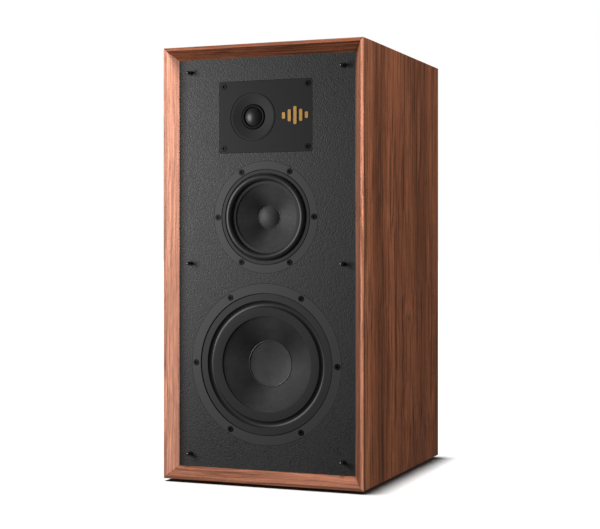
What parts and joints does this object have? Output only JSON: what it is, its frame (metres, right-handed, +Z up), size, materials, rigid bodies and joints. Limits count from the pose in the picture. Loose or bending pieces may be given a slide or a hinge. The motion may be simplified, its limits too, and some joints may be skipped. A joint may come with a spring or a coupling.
{
  "type": "bookshelf speaker",
  "caption": "Three-way box loudspeaker for a shelf or low stand: wood-veneered cabinet, bevelled front frame, black baffle, soft-dome tweeter, midrange, woofer.",
  "frame": {"origin": "on the floor, at the middle of the overall box, which includes the feet and the terminal cup", "axes": "+Z up, the front faces -Y, +X to the right seen from the front"},
  "size_m": [0.3, 0.3626, 0.614],
  "materials": {
    "walnut_veneer": "satin walnut veneer",
    "walnut_lipping": "satin solid walnut",
    "black_vinyl": "textured black vinyl",
    "board": "raw fibreboard",
    "chamber_board": "moulded",
    "wadding": "polyester wadding",
    "foot_rubber": "matte",
    "peg_plastic": "gloss",
    "black_screw": "black oxide",
    "gold_trim": "satin",
    "port_plastic": "moulded",
    "tweeter_plate": "fine satin",
    "dome_fabric": "coated fabric",
    "coil_copper": "enamelled copper",
    "motor_steel": "zinc plated",
    "ferrite": "ferrite",
    "cup_plastic": "moulded",
    "basket_paint": "black powder coat",
    "ring_rubber": "matte",
    "surround_rubber": "satin",
    "woven_cone": "woven fibre cloth",
    "woven_cap": "woven fibre cloth",
    "spider_cloth": "resin-stiffened cloth",
    "circuit_board": "lacquered",
    "capacitor_film": "gloss",
    "resistor_cement": "matte",
    "wire_jacket": "matte",
    "post_metal": "plated",
    "collar_plastic": "smoked",
    "knob_red": "gloss",
    "knob_black": "gloss"
  },
  "bodies": {
    "cabinet": {"side_panel_left": "walnut_veneer", "side_panel_right": "walnut_veneer", "top_panel": "walnut_veneer", "bottom_panel": "walnut_veneer", "back_panel": "walnut_veneer", "front_lipping_left": "walnut_lipping", "front_lipping_right": "walnut_lipping", "front_lipping_top": "walnut_lipping", "front_lipping_bottom": "walnut_lipping", "front_baffle": "black_vinyl", "window_brace": "board", "midrange_chamber": "chamber_board", "damping_wadding": "wadding", "rubber_feet": "foot_rubber", "grille_pegs": "peg_plastic", "driver_screws": "black_screw", "terminal_screws": "black_screw", "emblem_bars": "gold_trim", "port_tube_left": "port_plastic", "port_tube_right": "port_plastic", "tweeter_faceplate": "tweeter_plate", "tweeter_surround": "dome_fabric", "crossover_inductors": "coil_copper", "tweeter_top_plate": "motor_steel", "tweeter_yoke": "motor_steel", "midrange_top_plate": "motor_steel", "midrange_yoke": "motor_steel", "woofer_top_plate": "motor_steel", "woofer_yoke": "motor_steel", "tweeter_magnet": "ferrite", "midrange_magnet": "ferrite", "woofer_magnet": "ferrite", "tweeter_rear_cup": "cup_plastic", "terminal_cup": "cup_plastic", "midrange_basket": "basket_paint", "woofer_basket": "basket_paint", "midrange_trim_ring": "ring_rubber", "woofer_trim_ring": "ring_rubber", "midrange_surround": "surround_rubber", "woofer_surround": "surround_rubber", "midrange_spider": "spider_cloth", "woofer_spider": "spider_cloth", "crossover_board": "circuit_board", "crossover_capacitors": "capacitor_film", "crossover_resistors": "resistor_cement", "wiring": "wire_jacket", "binding_posts": "post_metal", "post_nuts": "post_metal"},
    "tweeter_diaphragm": {"tweeter_dome": "dome_fabric", "tweeter_voice_coil": "coil_copper"},
    "midrange_diaphragm": {"midrange_cone": "woven_cone", "midrange_dust_cap": "woven_cap", "midrange_voice_coil": "coil_copper"},
    "woofer_diaphragm": {"woofer_cone": "woven_cone", "woofer_dust_cap": "woven_cap", "woofer_voice_coil": "coil_copper"},
    "red_collar": {"clamp_collar_red": "collar_plastic"},
    "red_knob": {"knob_red": "knob_red"},
    "black_collar": {"clamp_collar_black": "collar_plastic"},
    "black_knob": {"knob_black": "knob_black"}
  },
  "joints": [
    {"name": "woofer_travel", "type": "slide", "parent": "cabinet", "child": "woofer_diaphragm", "axis": [0, -1, 0], "range_m": [-0.005, 0.005], "stiffness_N_per_m": 1000, "deforming": ["woofer_surround", "woofer_spider"]},
    {"name": "midrange_travel", "type": "slide", "parent": "cabinet", "child": "midrange_diaphragm", "axis": [0, -1, 0], "range_m": [-0.0025, 0.0025], "stiffness_N_per_m": 1500, "deforming": ["midrange_surround", "midrange_spider"]},
    {"name": "tweeter_travel", "type": "slide", "parent": "cabinet", "child": "tweeter_diaphragm", "axis": [0, -1, 0], "range_m": [-0.0005, 0.0005], "stiffness_N_per_m": 3000, "deforming": ["tweeter_surround"]},
    {"name": "red_collar_slide", "type": "slide", "parent": "cabinet", "child": "red_collar", "axis": [0, 1, 0], "range_m": [0, 0.0039]},
    {"name": "red_knob_turn", "type": "hinge", "parent": "red_collar", "child": "red_knob", "pos_m": [-0.02, 0.15475, 0.124], "axis": [0, 1, 0], "range_deg": [0, 1404]},
    {"name": "black_collar_slide", "type": "slide", "parent": "cabinet", "child": "black_collar", "axis": [0, 1, 0], "range_m": [0, 0.0039]},
    {"name": "black_knob_turn", "type": "hinge", "parent": "black_collar", "child": "black_knob", "pos_m": [0.02, 0.15475, 0.124], "axis": [0, 1, 0], "range_deg": [0, 1404]}
  ],
  "couplings": [
    {"joint": "red_knob_turn", "follows": "red_collar_slide", "rad_per_m": 6283.2},
    {"joint": "black_knob_turn", "follows": "black_collar_slide", "rad_per_m": 6283.2}
  ]
}
